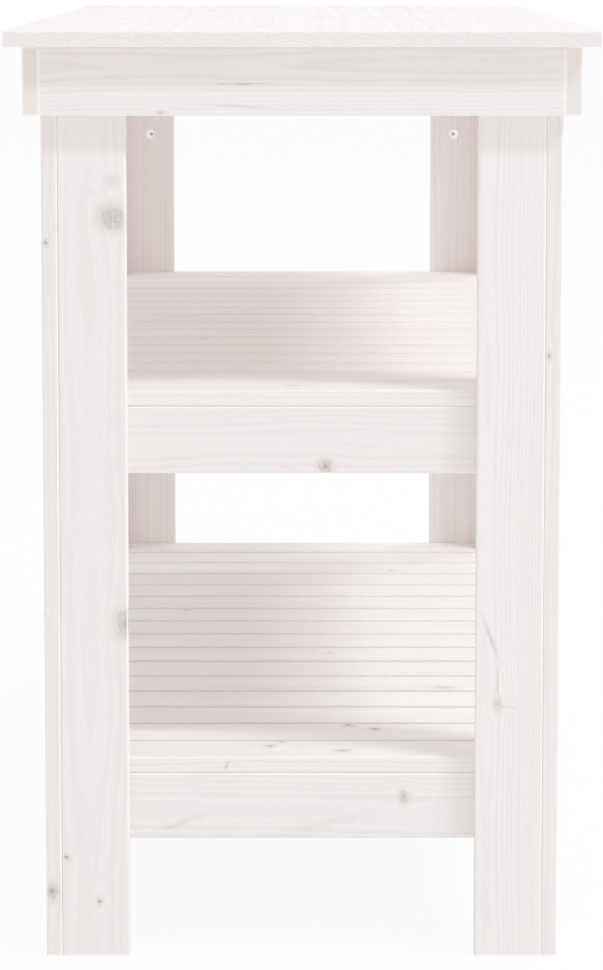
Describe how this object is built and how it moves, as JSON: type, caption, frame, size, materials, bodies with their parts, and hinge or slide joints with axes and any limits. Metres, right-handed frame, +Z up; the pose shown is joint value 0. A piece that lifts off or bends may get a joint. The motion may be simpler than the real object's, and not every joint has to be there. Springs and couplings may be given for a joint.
{
  "type": "workbench",
  "caption": "Free-standing workbench of pine boards: a thin worktop on an apron frame and L-shaped legs, with an upper and a lower slatted shelf",
  "frame": {"origin": "on the floor under the middle of the bench", "axes": "+X along the bench, towards the end that the picture shows; +Y across it, towards the picture's right; +Z up"},
  "size_m": [1.105, 0.5, 0.8],
  "materials": {
    "worktop_pine": "white-washed pine, matt, with the grain and knots showing, glued from strips",
    "frame_pine": "white-washed pine, matt, with the grain and knots showing",
    "slat_pine": "white-washed pine, matt, with the grain and knots showing",
    "fastener_steel": "zinc-plated steel, dull"
  },
  "bodies": {
    "root": {"tabletop": "worktop_pine", "near_batten": "frame_pine", "far_batten": "frame_pine", "left_side_apron": "frame_pine", "right_side_apron": "frame_pine", "near_end_apron": "frame_pine", "far_end_apron": "frame_pine", "near_left_leg_side_board": "frame_pine", "near_right_leg_side_board": "frame_pine", "far_left_leg_side_board": "frame_pine", "far_right_leg_side_board": "frame_pine", "near_left_leg_end_board": "frame_pine", "near_right_leg_end_board": "frame_pine", "far_left_leg_end_board": "frame_pine", "far_right_leg_end_board": "frame_pine", "upper_shelf_near_stretcher": "frame_pine", "upper_shelf_far_stretcher": "frame_pine", "lower_shelf_near_stretcher": "frame_pine", "lower_shelf_far_stretcher": "frame_pine", "upper_shelf_left_rail": "frame_pine", "upper_shelf_right_rail": "frame_pine", "lower_shelf_left_rail": "frame_pine", "lower_shelf_right_rail": "frame_pine", "upper_slat_01": "slat_pine", "upper_slat_02": "slat_pine", "upper_slat_03": "slat_pine", "upper_slat_04": "slat_pine", "upper_slat_05": "slat_pine", "upper_slat_06": "slat_pine", "upper_slat_07": "slat_pine", "upper_slat_08": "slat_pine", "upper_slat_09": "slat_pine", "upper_slat_10": "slat_pine", "upper_slat_11": "slat_pine", "upper_slat_12": "slat_pine", "upper_slat_13": "slat_pine", "upper_slat_14": "slat_pine", "upper_slat_15": "slat_pine", "upper_slat_16": "slat_pine", "lower_slat_01": "slat_pine", "lower_slat_02": "slat_pine", "lower_slat_03": "slat_pine", "lower_slat_04": "slat_pine", "lower_slat_05": "slat_pine", "lower_slat_06": "slat_pine", "lower_slat_07": "slat_pine", "lower_slat_08": "slat_pine", "lower_slat_09": "slat_pine", "lower_slat_10": "slat_pine", "lower_slat_11": "slat_pine", "lower_slat_12": "slat_pine", "lower_slat_13": "slat_pine", "lower_slat_14": "slat_pine", "lower_slat_15": "slat_pine", "lower_slat_16": "slat_pine", "leg_bolts": "fastener_steel", "leg_barrel_nuts": "fastener_steel", "frame_screws": "fastener_steel", "apron_screws": "fastener_steel", "slat_screws": "fastener_steel"}
  },
  "joints": []
}
